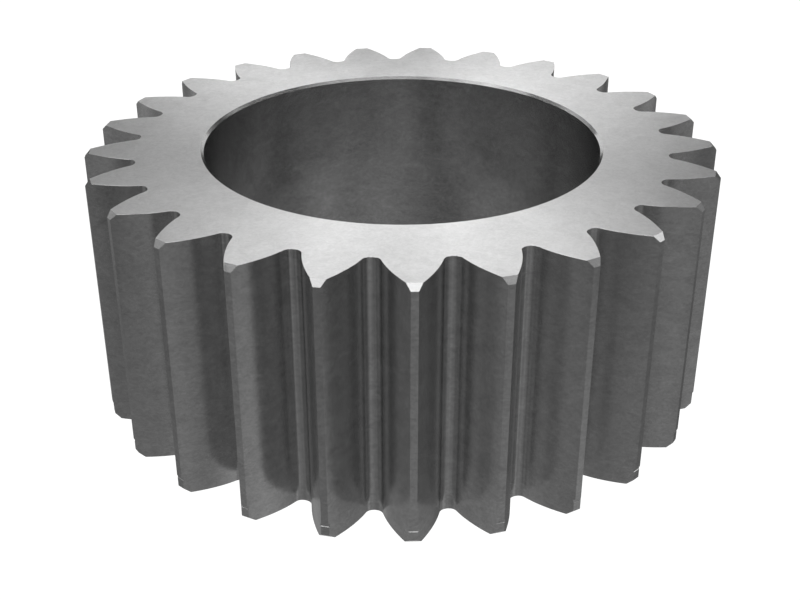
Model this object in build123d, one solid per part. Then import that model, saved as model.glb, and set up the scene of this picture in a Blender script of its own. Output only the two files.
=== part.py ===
from build123d import *
from math import acos, atan2, cos, hypot, pi, radians, sin, tan
import os

# A planet gear: a wide spur gear ring with straight involute teeth and a plain ground bore.
# It lies flat with its axis along +Z. The origin is on the axis, half way up the face width,
# and one tooth is centred on the -Y side. Millimetres and degrees.

# Teeth. The factors are in modules, as on a gear drawing.
tooth_count = 25
module = 5.0
pressure_angle = 22.5
profile_shift = 0.77
addendum_factor = 1.03
dedendum_factor = 1.25
rack_tip_radius_factor = 0.35

# Turned blank
face_width = 59.2
bore_diameter = 90.0
bore_chamfer = 0.6
tip_chamfer = 1.2

# A shallow band turned on the tooth tips at the lower end, where the blank was gripped
band_height = 3.6
band_depth = 0.2

# How far the tooth spaces are cut past the blank, and the points that each curve goes through
cut_overrun = 0.4
flank_points = 7
fillet_points = 6

# Worked out from the sizes above
reference_radius = module * tooth_count / 2
base_radius = reference_radius * cos(radians(pressure_angle))
tip_radius = reference_radius + module * (profile_shift + addendum_factor)
root_radius = reference_radius + module * (profile_shift - dedendum_factor)
bore_radius = bore_diameter / 2
half_width = face_width / 2
half_pitch = pi / tooth_count


def involute(angle):
    """The involute function of a pressure angle in radians."""
    return tan(angle) - angle


def polar(radius, angle):
    """A point at an angle in radians from the -Y side, turning towards +X."""
    return (radius * sin(angle), -radius * cos(angle))


def spread(start, end, count):
    """Evenly spaced values from start to end, both included."""
    return [start + (end - start) * i / (count - 1) for i in range(count)]


def space_half_angle(radius):
    """Half the angle across a tooth space between its two involute flanks."""
    shift_share = 2 * profile_shift * tan(radians(pressure_angle)) / tooth_count
    tooth_at_base = half_pitch / 2 + shift_share + involute(radians(pressure_angle))
    return half_pitch - tooth_at_base + involute(acos(base_radius / radius))


def fillet_curve():
    """Radius and angle along the root fillet, from its lowest point to where the flank starts.

    The rounded tip of the generating rack rolls this curve out, tangent to the root and the flank.
    """
    slope = radians(pressure_angle)
    full_radius = (pi / 4 - dedendum_factor * tan(slope)) * cos(slope) / (1 - sin(slope))
    rounding_factor = min(rack_tip_radius_factor, full_radius)
    rounding = module * rounding_factor
    straight_depth = dedendum_factor - rounding_factor
    centre_side = module * (pi / 4 - straight_depth * tan(slope) - rounding_factor / cos(slope))
    centre_depth = module * (straight_depth - profile_shift)
    curve = []
    for rolled in spread(0, centre_depth / tan(slope), fillet_points):
        reach = 1 + rounding / hypot(rolled, centre_depth)
        across = rolled * reach
        height = reference_radius - centre_depth * reach
        turned = (rolled - centre_side) / reference_radius
        curve.append((hypot(across, height), atan2(across, height) - turned))
    return curve


def turned_blank():
    """The ring as it leaves the lathe, with its chamfers and the band at its lower end."""
    band_radius = tip_radius - band_depth
    with BuildPart() as blank:
        with BuildSketch(Plane.XZ):
            with BuildLine():
                Polyline(
                    (bore_radius, bore_chamfer - half_width),
                    (bore_radius + bore_chamfer, -half_width),
                    (band_radius - tip_chamfer, -half_width),
                    (band_radius, tip_chamfer - half_width),
                    (band_radius, band_height - half_width),
                    (tip_radius, band_height - half_width),
                    (tip_radius, half_width - tip_chamfer),
                    (tip_radius - tip_chamfer, half_width),
                    (bore_radius + bore_chamfer, half_width),
                    (bore_radius, half_width - bore_chamfer),
                    close=True,
                )
            make_face()
        revolve(axis=Axis.Z)
    return blank.part


def tooth_space():
    """One tooth space, centred on the -Y side: two involute flanks, two fillets and the root land."""
    fillet = fillet_curve()
    land_angle = fillet[0][1]
    outer_radius = tip_radius + cut_overrun
    flank = [(r, space_half_angle(r)) for r in spread(fillet[-1][0], outer_radius, flank_points)]
    with BuildPart() as space:
        with BuildSketch(Plane.XY.offset(-half_width - cut_overrun)):
            with BuildLine():
                for side in (-1, 1):
                    Spline(*[polar(r, side * angle) for r, angle in fillet])
                    Spline(*[polar(r, side * angle) for r, angle in flank])
                outer_angle = flank[-1][1]
                ThreePointArc(
                    polar(outer_radius, -outer_angle),
                    polar(outer_radius, 0),
                    polar(outer_radius, outer_angle),
                )
                if land_angle * root_radius > 0.001:
                    ThreePointArc(
                        polar(root_radius, -land_angle),
                        polar(root_radius, 0),
                        polar(root_radius, land_angle),
                    )
            make_face()
        extrude(amount=face_width + 2 * cut_overrun)
    return space.part


def planet_gear():
    """The blank with its tooth spaces cut all round, which leaves the tips' turned shape."""
    space = tooth_space()
    with BuildPart() as gear:
        add(turned_blank())
        with PolarLocations(0, tooth_count, start_angle=180 / tooth_count):
            add(space, mode=Mode.SUBTRACT)
    return gear.part


os.makedirs("parts", exist_ok=True)
gear = planet_gear()
gear.label = "planet_gear"
export_step(gear, "parts/planet_gear.step")
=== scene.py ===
from math import cos, log, pi, radians, sin, tan

import bpy
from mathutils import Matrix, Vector


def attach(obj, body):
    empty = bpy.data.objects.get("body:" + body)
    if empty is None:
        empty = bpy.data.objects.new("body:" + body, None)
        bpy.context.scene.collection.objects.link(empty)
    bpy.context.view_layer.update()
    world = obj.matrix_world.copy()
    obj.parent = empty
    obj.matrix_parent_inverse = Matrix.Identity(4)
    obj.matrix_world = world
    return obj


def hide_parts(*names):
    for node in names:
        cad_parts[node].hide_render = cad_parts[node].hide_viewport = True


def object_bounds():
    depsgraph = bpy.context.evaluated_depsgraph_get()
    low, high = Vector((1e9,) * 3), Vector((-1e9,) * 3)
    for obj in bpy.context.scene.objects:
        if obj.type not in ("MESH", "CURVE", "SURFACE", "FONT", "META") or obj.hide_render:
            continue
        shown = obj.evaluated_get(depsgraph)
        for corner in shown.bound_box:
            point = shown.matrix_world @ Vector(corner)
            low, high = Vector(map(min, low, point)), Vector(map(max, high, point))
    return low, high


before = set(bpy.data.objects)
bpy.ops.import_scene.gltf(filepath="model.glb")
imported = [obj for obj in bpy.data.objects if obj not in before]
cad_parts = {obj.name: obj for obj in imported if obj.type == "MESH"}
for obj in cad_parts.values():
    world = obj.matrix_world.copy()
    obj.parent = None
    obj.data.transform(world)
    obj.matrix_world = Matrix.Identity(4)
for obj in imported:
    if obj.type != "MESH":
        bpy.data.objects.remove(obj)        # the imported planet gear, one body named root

cadLow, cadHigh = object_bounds()
mm = 0.001
print("frame loaded, CAD box", tuple(cadLow), tuple(cadHigh))


def addNode(tree, kind, links=None, **settings):
    # one node with its settings, and each link or constant by socket name or number
    node = tree.nodes.new(kind)
    for name, value in settings.items():
        setattr(node, name, value)
    for socket, value in (links or {}).items():
        if isinstance(value, bpy.types.NodeSocket):
            tree.links.new(value, node.inputs[socket])
        else:
            node.inputs[socket].default_value = value
    return node


def linearColour(hexColour):
    # sRGB hex to the linear colour that the shader wants
    channels = [int(hexColour[i:i + 2], 16) / 255 for i in (1, 3, 5)]
    linear = [c / 12.92 if c <= 0.04045 else ((c + 0.055) / 1.055) ** 2.4 for c in channels]
    return (*linear, 1.0)


# The gear. Sizes in millimetres, factors in modules, as on the drawing. A shallow band is turned on
# the tips at the lower end, with a fine groove at its upper edge. The groove's sloping lip catches
# the light, and its place is given by how far its foot lies under the band's upper edge.
gearSizes = {
    "teeth": 25,
    "module": 5.0,
    "pressureAngle": radians(22.5),
    "profileShift": 0.77,
    "dedendum": 1.25,
    "rackTipRadius": 0.35,
    "boreDiameter": 90.0,
    "boreChamfer": 0.6,
    "tipChamfer": 1.2,
    "bandHeight": 3.6,
    "bandDepth": 0.2,
    "grooveDepth": 0.32,
    "grooveDrop": 0.28,
    "grooveLip": 0.087,
    "grooveHeight": 0.85,
    "edgeBreak": 0.04,      # the edges of the end faces are barely broken, as after deburring
    "filletSteps": 6,
    "flankSteps": 10,
    "sharpAngle": radians(30),
    "weldDistance": 0.001,  # joins the pitches, far below any real size
}


def gearInputs(sizes):
    # the tree's named inputs in metres and radians, from the sizes and the CAD box
    slope = sizes["pressureAngle"]
    referenceRadius = sizes["module"] * sizes["teeth"] / 2
    straightDepth = sizes["dedendum"] - sizes["rackTipRadius"]
    rackSide = pi / 4 - straightDepth * tan(slope) - sizes["rackTipRadius"] / cos(slope)
    rackDepth = straightDepth - sizes["profileShift"]
    toothAtBase = pi / 2 / sizes["teeth"] + 2 * sizes["profileShift"] * tan(slope) / sizes["teeth"]
    toothAtBase += tan(slope) - slope
    return {
        "Teeth": sizes["teeth"],
        "Fillet steps": sizes["filletSteps"],
        "Flank steps": sizes["flankSteps"],
        "Reference radius": referenceRadius * mm,
        "Base radius": referenceRadius * cos(slope) * mm,
        "Base space angle": pi / sizes["teeth"] - toothAtBase,
        "Rack corner radius": sizes["rackTipRadius"] * sizes["module"] * mm,
        "Rack corner side": rackSide * sizes["module"] * mm,
        "Rack corner depth": rackDepth * sizes["module"] * mm,
        "Roll end": rackDepth * sizes["module"] / tan(slope) * mm,
        "Tip radius": -cadLow.y,
        "Half width": cadHigh.z,
        "Bore radius": sizes["boreDiameter"] / 2 * mm,
        "Bore chamfer": sizes["boreChamfer"] * mm,
        "Tip chamfer": sizes["tipChamfer"] * mm,
        "Band height": sizes["bandHeight"] * mm,
        "Band depth": sizes["bandDepth"] * mm,
        "Groove depth": sizes["grooveDepth"] * mm,
        "Groove drop": sizes["grooveDrop"] * mm,
        "Groove lip": sizes["grooveLip"] * mm,
        "Groove height": sizes["grooveHeight"] * mm,
        "Edge break": sizes["edgeBreak"] * mm,
        "Weld distance": sizes["weldDistance"] * mm,
    }


def gearTree(inputs, finishes):
    # One pitch of the ring is a flat grid. Its columns run from tooth centre to tooth centre over
    # the space between, and its stations run once round the section: bore, lower end, teeth, upper end.
    tree = bpy.data.node_groups.new("toothedRing", "GeometryNodeTree")
    for name, value in inputs.items():
        kind = "NodeSocketInt" if isinstance(value, int) else "NodeSocketFloat"
        tree.interface.new_socket(name=name, in_out="INPUT", socket_type=kind)
    for finish in finishes:
        tree.interface.new_socket(name=finish, in_out="INPUT", socket_type="NodeSocketMaterial")
    tree.interface.new_socket(name="Gear", in_out="OUTPUT", socket_type="NodeSocketGeometry")
    given = addNode(tree, "NodeGroupInput")
    wires = {name: given.outputs[name] for name in [*inputs, *finishes]}

    def work(steps):
        # each step is a name, an operation and its operands; one that ends in Share stays in 0 to 1
        for name, operation, *operands in steps:
            values = {n: wires.get(v, v) for n, v in enumerate(operands)}
            clamped = name.endswith("Share")
            node = addNode(tree, "ShaderNodeMath", values, operation=operation, use_clamp=clamped)
            wires[name] = node.outputs[0]

    def perStation(name, index, kind, values):
        # the value that belongs to each station or cell
        node = addNode(tree, "GeometryNodeIndexSwitch", data_type=kind)
        for _ in values[2:]:
            node.index_switch_items.new()
        tree.links.new(index, node.inputs[0])
        for number, value in enumerate(values, 1):
            if isinstance(value, str):
                tree.links.new(wires[value], node.inputs[number])
            else:
                node.inputs[number].default_value = value
        wires[name] = node.outputs[0]

    stations = 14
    work([
        ("steps", "ADD", "Fillet steps", "Flank steps"),
        ("halfColumns", "ADD", "steps", 4),
        ("columns", "MULTIPLY", "halfColumns", 2),
        ("columnLines", "ADD", "columns", 1),
        ("bandRadius", "SUBTRACT", "Tip radius", "Band depth"),
        ("lowFaceRadius", "SUBTRACT", "bandRadius", "Tip chamfer"),
        ("lowBreakRadius", "ADD", "lowFaceRadius", "Edge break"),
        ("topFaceRadius", "SUBTRACT", "Tip radius", "Tip chamfer"),
        ("topBreakRadius", "ADD", "topFaceRadius", "Edge break"),
        ("faceBoreRadius", "ADD", "Bore radius", "Bore chamfer"),
        ("bottom", "MULTIPLY", "Half width", -1),
        ("boreTop", "SUBTRACT", "Half width", "Bore chamfer"),
        ("boreBottom", "MULTIPLY", "boreTop", -1),
        ("breakTop", "SUBTRACT", "Half width", "Edge break"),
        ("breakBottom", "MULTIPLY", "breakTop", -1),
        ("chamferTop", "SUBTRACT", "Half width", "Tip chamfer"),
        ("chamferBottom", "MULTIPLY", "chamferTop", -1),
        ("bandTop", "ADD", "bottom", "Band height"),
        # the groove: its foot, the top of its sloping lip, and its level upper wall
        ("grooveFoot", "SUBTRACT", "bandTop", "Groove drop"),
        ("lipTop", "ADD", "grooveFoot", "Groove lip"),
        ("grooveTop", "ADD", "grooveFoot", "Groove height"),
        ("grooveRadius", "SUBTRACT", "Tip radius", "Groove depth"),
    ])
    grid = addNode(tree, "GeometryNodeMeshGrid", {
        "Size X": wires["columns"],
        "Size Y": float(stations),
        "Vertices X": wires["columnLines"],
        "Vertices Y": stations + 1,
    })
    place = addNode(tree, "GeometryNodeInputPosition")
    flat = addNode(tree, "ShaderNodeSeparateXYZ", {0: place.outputs[0]})
    wires["gridX"], wires["gridY"] = flat.outputs[0], flat.outputs[1]
    work([
        ("column", "ROUND", "gridX"),
        ("step", "ABSOLUTE", "column"),
        ("side", "SIGN", "column"),
        ("lifted", "ADD", "gridY", stations / 2),
        ("station", "ROUND", "lifted"),
    ])
    station = wires["station"]
    perStation("z", station, "FLOAT", [
        "boreBottom", "bottom", "bottom", "breakBottom", "chamferBottom", "grooveFoot", "lipTop",
        "grooveTop", "grooveTop", "chamferTop", "breakTop", "Half width", "Half width", "boreTop",
        "boreBottom",
    ])
    perStation("crown", station, "FLOAT", [
        "bandRadius", "bandRadius", "lowFaceRadius", "lowBreakRadius", "bandRadius", "bandRadius",
        "grooveRadius", "grooveRadius", "Tip radius", "Tip radius", "topBreakRadius", "topFaceRadius",
        "Tip radius", "Tip radius", "bandRadius",
    ])
    perStation("inset", station, "FLOAT", [
        0.0, 0.0, "Edge break", 0.0, 0.0, 0.0, 0.0, 0.0,
        0.0, 0.0, 0.0, "Edge break", 0.0, 0.0, 0.0,
    ])
    perStation("circle", station, "FLOAT", [
        "Bore radius", "faceBoreRadius", 0.0, 0.0, 0.0, 0.0, 0.0, 0.0,
        0.0, 0.0, 0.0, 0.0, "faceBoreRadius", "Bore radius", "Bore radius",
    ])
    work([
        # the root fillet, rolled out by the rounded corner of the rack
        ("filletCount", "SUBTRACT", "step", 1),
        ("filletShare", "DIVIDE", "filletCount", "Fillet steps"),
        ("rolled", "MULTIPLY", "filletShare", "Roll end"),
        ("rolledSquare", "MULTIPLY", "rolled", "rolled"),
        ("depthSquare", "MULTIPLY", "Rack corner depth", "Rack corner depth"),
        ("armSquare", "ADD", "rolledSquare", "depthSquare"),
        ("arm", "SQRT", "armSquare"),
        ("corner", "ADD", "Rack corner radius", "inset"),
        ("cornerRatio", "DIVIDE", "corner", "arm"),
        ("reach", "ADD", "cornerRatio", 1),
        ("across", "MULTIPLY", "rolled", "reach"),
        ("drop", "MULTIPLY", "Rack corner depth", "reach"),
        ("height", "SUBTRACT", "Reference radius", "drop"),
        ("acrossSquare", "MULTIPLY", "across", "across"),
        ("filletSquare", "MULTIPLY_ADD", "height", "height", "acrossSquare"),
        ("filletRadius", "SQRT", "filletSquare"),
        ("filletTurn", "ARCTAN2", "across", "height"),
        ("rollRest", "SUBTRACT", "rolled", "Rack corner side"),
        ("rollTurn", "DIVIDE", "rollRest", "Reference radius"),
        ("filletAngle", "SUBTRACT", "filletTurn", "rollTurn"),
        ("rootShare", "MINIMUM", "step", 1),
        ("rootAngle", "MULTIPLY", "filletAngle", "rootShare"),
        # the flank, in even steps of radius up to the lower face, then to the band, then to the tip
        ("flankCount", "SUBTRACT", "filletCount", "Fillet steps"),
        ("flankShare", "DIVIDE", "flankCount", "Flank steps"),
        ("bandShare", "SUBTRACT", "flankCount", "Flank steps"),
        ("bandEnd", "ADD", "Flank steps", 1),
        ("tipShare", "SUBTRACT", "flankCount", "bandEnd"),
        ("tipEnd", "ADD", "Flank steps", 2),
        ("centreShare", "SUBTRACT", "flankCount", "tipEnd"),
        ("flankRise", "SUBTRACT", "lowFaceRadius", "filletRadius"),
        ("flankRadius", "MULTIPLY_ADD", "flankRise", "flankShare", "filletRadius"),
        ("bandLimit", "MINIMUM", "crown", "bandRadius"),
        ("bandRise", "SUBTRACT", "bandLimit", "flankRadius"),
        ("bandReach", "MULTIPLY_ADD", "bandRise", "bandShare", "flankRadius"),
        ("tipRise", "SUBTRACT", "crown", "bandReach"),
        ("toothRadius", "MULTIPLY_ADD", "tipRise", "tipShare", "bandReach"),
        ("baseRatio", "DIVIDE", "toothRadius", "Base radius"),
        ("baseSquare", "MULTIPLY", "baseRatio", "baseRatio"),
        ("overBase", "SUBTRACT", "baseSquare", 1),
        ("unwound", "SQRT", "overBase"),
        ("unwoundTurn", "ARCTANGENT", "unwound"),
        ("involute", "SUBTRACT", "unwound", "unwoundTurn"),
        ("insetTurn", "DIVIDE", "inset", "Base radius"),
        ("spaceTurn", "ADD", "involute", "Base space angle"),
        ("flankAngle", "ADD", "spaceTurn", "insetTurn"),
        # the tip land, then the choice of fillet or flank, and of tooth outline or bore circle
        ("halfPitch", "DIVIDE", pi, "Teeth"),
        ("landTurn", "SUBTRACT", "halfPitch", "flankAngle"),
        ("crownAngle", "MULTIPLY_ADD", "landTurn", "centreShare", "flankAngle"),
        ("onFlank", "GREATER_THAN", "flankShare", 0),
        ("angleChoice", "SUBTRACT", "crownAngle", "rootAngle"),
        ("outlineAngle", "MULTIPLY_ADD", "angleChoice", "onFlank", "rootAngle"),
        ("evenStep", "DIVIDE", "halfPitch", "halfColumns"),
        ("evenAngle", "MULTIPLY", "step", "evenStep"),
        ("onCircle", "GREATER_THAN", "circle", 0),
        ("circleRise", "SUBTRACT", "circle", "toothRadius"),
        ("radius", "MULTIPLY_ADD", "circleRise", "onCircle", "toothRadius"),
        ("circleTurn", "SUBTRACT", "evenAngle", "outlineAngle"),
        ("turn", "MULTIPLY_ADD", "circleTurn", "onCircle", "outlineAngle"),
        ("angle", "MULTIPLY", "turn", "side"),
        ("sine", "SINE", "angle"),
        ("cosine", "COSINE", "angle"),
        ("x", "MULTIPLY", "radius", "sine"),
        ("depth", "MULTIPLY", "radius", "cosine"),
        ("y", "MULTIPLY", "depth", -1),
        # which finish a face has, from the middle of its cell in the flat grid
        ("cell", "FLOOR", "lifted"),
        ("cellStep", "ABSOLUTE", "gridX"),
        ("landStart", "SUBTRACT", "halfColumns", 1),
        ("onLand", "GREATER_THAN", "cellStep", "landStart"),
    ])
    # 0 flank, 1 end face, 2 bore, 3 chamfer or edge break, 4 chamfer on the tip land only
    perStation("cellKind", wires["cell"], "INT", [3, 1, 3, 4, 0, 4, 0, 4, 0, 4, 3, 1, 3, 2])
    work([
        ("isTipCell", "GREATER_THAN", "cellKind", 3.5),
        ("tipKind", "MULTIPLY", "onLand", 3),
        ("tipChange", "SUBTRACT", "tipKind", "cellKind"),
        ("finish", "MULTIPLY_ADD", "isTipCell", "tipChange", "cellKind"),
    ])
    marked = addNode(tree, "GeometryNodeStoreNamedAttribute", {
        "Geometry": grid.outputs["Mesh"],
        "Name": "finish",
        "Value": wires["finish"],
    }, data_type="INT", domain="FACE")
    point = addNode(tree, "ShaderNodeCombineXYZ", {0: wires["x"], 1: wires["y"], 2: wires["z"]})
    pitch = addNode(tree, "GeometryNodeSetPosition", {
        "Geometry": marked.outputs[0],
        "Position": point.outputs[0],
    })
    # the pitch is repeated round the axis, half a pitch on, so that a tooth stands on -Y
    wires["number"] = addNode(tree, "GeometryNodeInputIndex").outputs[0]
    work([
        ("place", "ADD", "number", 0.5),
        ("pitchTurn", "MULTIPLY", "halfPitch", 2),
        ("copyTurn", "MULTIPLY", "place", "pitchTurn"),
    ])
    copyTurn = addNode(tree, "ShaderNodeCombineXYZ", {2: wires["copyTurn"]})
    seats = addNode(tree, "GeometryNodePoints", {"Count": wires["Teeth"]})
    ring = addNode(tree, "GeometryNodeInstanceOnPoints", {
        "Points": seats.outputs[0],
        "Instance": pitch.outputs[0],
        "Rotation": copyTurn.outputs[0],
    })
    real = addNode(tree, "GeometryNodeRealizeInstances", {0: ring.outputs[0]})
    closed = addNode(tree, "GeometryNodeMergeByDistance", {
        "Geometry": real.outputs[0],
        "Distance": wires["Weld distance"],
    })
    geometry = closed.outputs[0]
    finishMark = addNode(tree, "GeometryNodeInputNamedAttribute", {"Name": "finish"}, data_type="INT")
    for number, finish in enumerate(finishes):
        chosen = addNode(
            tree, "FunctionNodeCompare", {2: finishMark.outputs[0], 3: number},
            data_type="INT", operation="EQUAL",
        )
        painted = addNode(tree, "GeometryNodeSetMaterial", {
            "Geometry": geometry,
            "Selection": chosen.outputs[0],
            "Material": wires[finish],
        })
        geometry = painted.outputs[0]
    addNode(tree, "NodeGroupOutput", {0: geometry})
    return tree


def makeGear(sizes, finishes):
    inputs = gearInputs(sizes)
    tree = gearTree(inputs, finishes)
    host = bpy.data.objects.new("gearHost", bpy.data.meshes.new("gearHost"))
    bpy.context.scene.collection.objects.link(host)
    modifier = host.modifiers.new("toothedRing", "NODES")
    modifier.node_group = tree
    values = {**inputs, **finishes}
    for item in tree.interface.items_tree:
        if item.in_out == "INPUT":
            modifier[item.identifier] = values[item.name]
    evaluated = host.evaluated_get(bpy.context.evaluated_depsgraph_get())
    mesh = bpy.data.meshes.new_from_object(evaluated)
    host.modifiers.remove(modifier)
    bpy.data.objects.remove(host)
    mesh.name = "gear"
    mesh.shade_smooth()
    mesh.set_sharp_from_angle(angle=sizes["sharpAngle"])
    gear = bpy.data.objects.new("gear", mesh)
    bpy.context.scene.collection.objects.link(gear)
    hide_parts("planet_gear")
    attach(gear, "root")
    print("gear made:", len(mesh.vertices), "points,", len(mesh.polygons), "faces")
    return gear


# Bare case-hardened steel, a neutral grey metal. Heat treatment and handling leave soft clouds about
# a millimetre wide and patches of about five in its grey and its gloss, and each surface keeps the
# marks of the tool that cut it. Real marks are finer than 0.1 mm, so they are drawn coarser and faint,
# to show at all.
steel = {
    "lightGrey": "#dedede",
    "darkGrey": "#b2b2b2",
    "cloudSize": 1.0,
    "patchSize": 5.0,
    "cloudFlatness": (1.0, 1.0, 1.6),
    "cloudDetail": 5.0,
    "cloudGrain": 0.75,
    "cloudSwirl": 0.8,
    "markSize": 0.45,
    "markDetail": 1.0,
    "markStretch": 0.04,
    "honingSlant": radians(30),
    "grooveTurn": 0.25,     # a quarter turn, so that the turning grooves run round the axis
}


def turningMarks(tree, place):
    # rings round the axis
    flat = addNode(tree, "ShaderNodeVectorMath", {0: place, 1: (1, 1, 0)}, operation="MULTIPLY")
    radius = addNode(tree, "ShaderNodeVectorMath", {0: flat.outputs[0]}, operation="LENGTH")
    return [addNode(tree, "ShaderNodeTexNoise", {
        "W": radius.outputs["Value"],
        "Scale": 1 / (steel["markSize"] * mm),
        "Detail": steel["markDetail"],
    }, noise_dimensions="1D").outputs[0]]


def grindingMarks(tree, place):
    # straight lines along the teeth
    drawn = addNode(tree, "ShaderNodeMapping", {"Vector": place, "Scale": (1, 1, steel["markStretch"])})
    return [addNode(tree, "ShaderNodeTexNoise", {
        "Vector": drawn.outputs[0],
        "Scale": 1 / (steel["markSize"] * mm),
        "Detail": steel["markDetail"],
    }).outputs[0]]


def honingMarks(tree, place):
    # two sets of lines that climb the bore and cross, each one twisted with the height
    height = addNode(tree, "ShaderNodeSeparateXYZ", {0: place}).outputs[2]
    marks = []
    for way in (1, -1):
        twist = way / tan(steel["honingSlant"]) / (gearSizes["boreDiameter"] / 2 * mm)
        angle = addNode(tree, "ShaderNodeMath", {0: height, 1: twist}, operation="MULTIPLY")
        turned = addNode(tree, "ShaderNodeVectorRotate", {
            "Vector": place,
            "Angle": angle.outputs[0],
        }, rotation_type="Z_AXIS")
        marks += grindingMarks(tree, turned.outputs[0])
    return marks


# Shares of clouds, patches and marks in the grey, the gloss and the relief. The relief is in mm.
# Groove is how strongly the turning grooves spread the light. The fade is painted shade and light: how
# much a face's grey is painted darker from the bore out to the tips, and lighter near the bore, for how
# the light falls.
finishes = {
    "groundFlank": {    # satin, with soft reflections of the light round it
        "material": "groundFlankSteel",
        "marks": grindingMarks,
        "roughness": 0.21,
        "roughnessSpread": 0.06,
        "groove": 0.0,
        "grey": (1.6, 1.2, 0.05),
        "paintedRadialShade": 0.0,
        "gloss": (1.0, 0.5, 0.1),
        "height": (1.0, 0.0, 0.05),
        "relief": 0.012,
    },
    "turnedEnd": {      # the turning grooves spread light across themselves, so it fans out
        "material": "turnedEndSteel",
        "marks": turningMarks,
        "roughness": 0.35,
        "roughnessSpread": 0.06,
        "groove": 0.9,
        "grey": (1.2, 0.8, 0.04),
        # painted shade: this end face is painted lighter at the bore and darker out at the tips
        "paintedRadialShade": 0.19,
        "gloss": (0.8, 0.4, 0.2),
        "height": (1.0, 0.0, 0.05),
        "relief": 0.008,
    },
    "honedBore": {      # satin like the flanks, with two faint sets of crossing lines
        "material": "honedBoreSteel",
        "marks": honingMarks,
        "roughness": 0.20,
        "roughnessSpread": 0.08,
        "groove": 0.0,
        "grey": (1.7, 1.5, 0.05),
        "paintedRadialShade": 0.0,
        "gloss": (0.8, 0.4, 0.2),
        "height": (1.0, 0.0, 0.05),
        "relief": 0.012,
    },
    "turnedChamfer": {  # fresh narrow cuts and worn edges, brighter in their glints than the rest
        "material": "turnedChamferSteel",
        "marks": turningMarks,
        "roughness": 0.2,
        "roughnessSpread": 0.04,
        "groove": 0.9,
        "grey": (0.8, 0.4, 0.1),
        "paintedRadialShade": 0.0,
        "gloss": (0.8, 0.4, 0.2),
        "height": (1.0, 0.0, 0.1),
        "relief": 0.003,
    },
}


def makeSteel(finish):
    material = bpy.data.materials.new(finish["material"])
    material.use_nodes = True
    tree = material.node_tree
    tree.nodes.clear()
    place = addNode(tree, "ShaderNodeTexCoord").outputs["Object"]
    flat = addNode(tree, "ShaderNodeMapping", {"Vector": place, "Scale": steel["cloudFlatness"]})
    noises = [[addNode(tree, "ShaderNodeTexNoise", {
        "Vector": flat.outputs[0],
        "Scale": 1 / (steel[size] * mm),
        "Detail": steel["cloudDetail"],
        "Roughness": steel["cloudGrain"],
        "Distortion": steel["cloudSwirl"],
    }).outputs[0]] for size in ("cloudSize", "patchSize")]
    noises.append(finish["marks"](tree, place))

    def mixed(shares):
        # every noise swings about one half, and so does their sum
        total = 0.5 - sum(shares) / 2
        for share, group in zip(shares, noises):
            for noise in group:
                total = addNode(tree, "ShaderNodeMath", {
                    0: noise,
                    1: share / len(group),
                    2: total,
                }, operation="MULTIPLY_ADD").outputs[0]
        return total

    # painted shade and light: the distance from the axis paints the grey lighter near the bore and
    # darker at the tips
    level = addNode(tree, "ShaderNodeVectorMath", {0: place, 1: (1, 1, 0)}, operation="MULTIPLY")
    radius = addNode(tree, "ShaderNodeVectorMath", {0: level.outputs[0]}, operation="LENGTH")
    paintedRadialShade = addNode(tree, "ShaderNodeMapRange", {
        "Value": radius.outputs["Value"],
        "From Min": gearSizes["boreDiameter"] / 2 * mm,
        "From Max": -cadLow.y,
        "To Min": finish["paintedRadialShade"],
        "To Max": -finish["paintedRadialShade"],
    })
    tone = addNode(tree, "ShaderNodeMath", {
        0: mixed(finish["grey"]),
        1: paintedRadialShade.outputs[0],
    }, operation="ADD")
    grey = addNode(tree, "ShaderNodeMix", {
        "Factor": tone.outputs[0],
        6: linearColour(steel["darkGrey"]),
        7: linearColour(steel["lightGrey"]),
    }, data_type="RGBA")
    gloss = addNode(tree, "ShaderNodeMapRange", {
        "Value": mixed(finish["gloss"]),
        "To Min": finish["roughness"] - finish["roughnessSpread"],
        "To Max": finish["roughness"] + finish["roughnessSpread"],
    })
    bump = addNode(tree, "ShaderNodeBump", {
        "Height": mixed(finish["height"]),
        "Distance": finish["relief"] * mm,
    })
    shader = addNode(tree, "ShaderNodeBsdfPrincipled", {
        "Base Color": grey.outputs[2],
        "Metallic": 1.0,
        "Roughness": gloss.outputs[0],
        "Anisotropic": finish["groove"],
        "Anisotropic Rotation": steel["grooveTurn"],
        "Normal": bump.outputs[0],
    })
    addNode(tree, "ShaderNodeOutputMaterial", {0: shader.outputs[0]})
    return material


gear = makeGear(gearSizes, {name: makeSteel(finish) for name, finish in finishes.items()})


# Camera, at the photograph's viewing angle. The azimuth turns it off the front tooth. Lengths are in
# millimetres, and the aim is a point beside the axis.
cameraShot = {
    "lens": 57.345,
    "sensor": 36.0,
    "azimuth": -0.0331,     # radians
    "distance": 273.71,
    "height": 136.11,
    "aimSide": -0.44,
    "aimHeight": -11.93,
}


def makeCamera(shot):
    data = bpy.data.cameras.new("camera")
    data.lens = shot["lens"]
    data.sensor_width = shot["sensor"]
    camera = bpy.data.objects.new("camera", data)
    bpy.context.scene.collection.objects.link(camera)
    turn = shot["azimuth"]
    eye = Vector((shot["distance"] * sin(turn), -shot["distance"] * cos(turn), shot["height"])) * mm
    aim = Vector((shot["aimSide"] * cos(turn), shot["aimSide"] * sin(turn), shot["aimHeight"])) * mm
    camera.location = eye
    camera.rotation_mode = "QUATERNION"
    camera.rotation_quaternion = (aim - eye).to_track_quat("-Z", "Y")
    bpy.context.scene.camera = camera


makeCamera(cameraShot)
print("camera placed")


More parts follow.
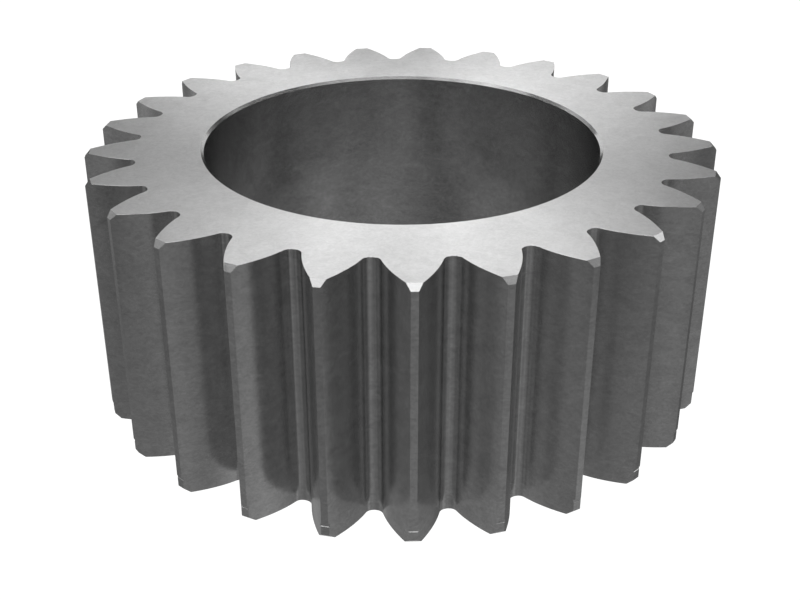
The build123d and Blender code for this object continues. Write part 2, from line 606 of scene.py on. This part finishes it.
# Studio: a plain white floor that takes no shadow, round soft cards on a dome round the gear, and a
# dimmer room. Directions are degrees of elevation, then of azimuth from the front, with 90 on the
# right. Each number after them is how bright the card or the glow is. Glows under the level of the
# floor stand for light that a pale bench throws up: the upright flanks mirror it, and the lowest row
# lights the chamfers at the lower end.
studio = {
    "floorSize": 6.0,
    "floorColour": "#ffffff",
    "roomColour": "#ffffff",
    "floorGlow": 1.1,
    "cards": {
        12: {165: 0.65, 192: 0.85, 216: 0.55},
        28: {90: 1.30, 120: 0.40, 165: 0.90, 180: 0.30, 195: 0.40, 240: 0.55},
        35: {75: 0.50, 210: 0.40, 270: 0.50},
        44: {150: 1.15, 180: 0.55, 195: 0.35, 210: 0.75},
        57: {
            0: 2.05, 50: 0.75, 73: 0.45, 150: 2.80, 180: 1.35, 210: 2.25, 260: 0.80, 288: 1.65,
            317: 1.85,
        },
        66: {43: 0.35},
        75: {120: 0.60, 270: 0.40},
    },
    "cardDistance": 0.42,
    "cardSize": 0.15,
    "nearCards": {60: {180: 1.55}, 90: {0: 0.50}},
    "nearDistance": 0.25,
    "nearSize": 0.12,
    "glows": {
        -5: {0: 0.22, 30: 0.22, 90: 0.35, 120: 0.47, 240: 0.51, 270: 0.30, 300: 0.36},
        -20: {0: 0.05, 48: 0.12, 168: 0.31, 192: 0.23},
        -32: {15: 0.14, 60: 0.07, 210: 0.26, 315: 0.10, 330: 0.07, 345: 0.09},
        -45: {48: 0.19, 72: 0.19, 288: 0.20},
        -66: {0: 0.70, 120: 1.13, 240: 1.21},
    },
    "glowWidths": {-5: 30, -20: 26, -32: 20, -45: 28, -66: 34},     # degrees at half brightness
}


def makeFloor(values):
    half = values["floorSize"] / 2
    z = cadLow.z
    mesh = bpy.data.meshes.new("floor")
    corners = [(-half, -half, z), (half, -half, z), (half, half, z), (-half, half, z)]
    mesh.from_pydata(corners, [], [(0, 1, 2, 3)])
    floor = bpy.data.objects.new("floor", mesh)
    bpy.context.scene.collection.objects.link(floor)
    material = bpy.data.materials.new("whiteFloor")
    material.use_nodes = True
    tree = material.node_tree
    tree.nodes.clear()
    glow = addNode(tree, "ShaderNodeEmission", {
        "Color": linearColour(values["floorColour"]),
        "Strength": values["floorGlow"],
    })
    addNode(tree, "ShaderNodeOutputMaterial", {0: glow.outputs[0]})
    mesh.materials.append(material)
    floor.visible_glossy = False    # the steel mirrors the room's low glows in its place
    floor.visible_shadow = False


def direction(elevation, azimuth):
    up, turn = radians(elevation), radians(azimuth)
    return Vector((cos(up) * sin(turn), -cos(up) * cos(turn), sin(up)))


def makeCards(rows, distance, size):
    for elevation, row in rows.items():
        for azimuth, brightness in row.items():
            light = bpy.data.lights.new("softCard", "AREA")
            light.shape = "DISK"
            light.size = size
            light.energy = brightness * pi * pi * (size / 2) ** 2   # brightness 1 mirrors as white
            card = bpy.data.objects.new("softCard", light)
            bpy.context.scene.collection.objects.link(card)
            away = direction(elevation, azimuth)
            card.location = away * distance
            card.rotation_mode = "QUATERNION"
            card.rotation_quaternion = away.to_track_quat("Z", "Y")
            card.visible_camera = False


def makeRoom(values):
    # the camera sees plain white past the floor, and the steel sees the glows
    world = bpy.data.worlds.new("room")
    world.use_nodes = True
    tree = world.node_tree
    tree.nodes.clear()
    looking = addNode(tree, "ShaderNodeTexCoord").outputs["Generated"]
    total = 0.0
    for elevation, row in values["glows"].items():
        sharpness = log(2) / (1 - cos(radians(values["glowWidths"][elevation] / 2)))
        for azimuth, brightness in row.items():
            nearness = addNode(tree, "ShaderNodeVectorMath", {
                0: looking,
                1: direction(elevation, azimuth),
            }, operation="DOT_PRODUCT").outputs["Value"]
            power = addNode(tree, "ShaderNodeMath", {
                0: nearness,
                1: sharpness,
                2: -sharpness,
            }, operation="MULTIPLY_ADD").outputs[0]
            soft = addNode(tree, "ShaderNodeMath", {0: power}, operation="EXPONENT").outputs[0]
            total = addNode(tree, "ShaderNodeMath", {
                0: soft,
                1: brightness,
                2: total,
            }, operation="MULTIPLY_ADD").outputs[0]
    steelSees = addNode(tree, "ShaderNodeBackground", {
        "Strength": total,
        "Color": linearColour(values["roomColour"]),
    })
    cameraSees = addNode(tree, "ShaderNodeBackground", {
        "Strength": values["floorGlow"],
        "Color": linearColour(values["floorColour"]),
    })
    path = addNode(tree, "ShaderNodeLightPath")
    seen = addNode(tree, "ShaderNodeMixShader", {
        0: path.outputs["Is Camera Ray"],
        1: steelSees.outputs[0],
        2: cameraSees.outputs[0],
    })
    addNode(tree, "ShaderNodeOutputWorld", {0: seen.outputs[0]})
    bpy.context.scene.world = world


makeFloor(studio)
makeCards(studio["cards"], studio["cardDistance"], studio["cardSize"])
makeCards(studio["nearCards"], studio["nearDistance"], studio["nearSize"])
makeRoom(studio)
bpy.context.scene.view_settings.view_transform = "Standard"
print("studio lit")
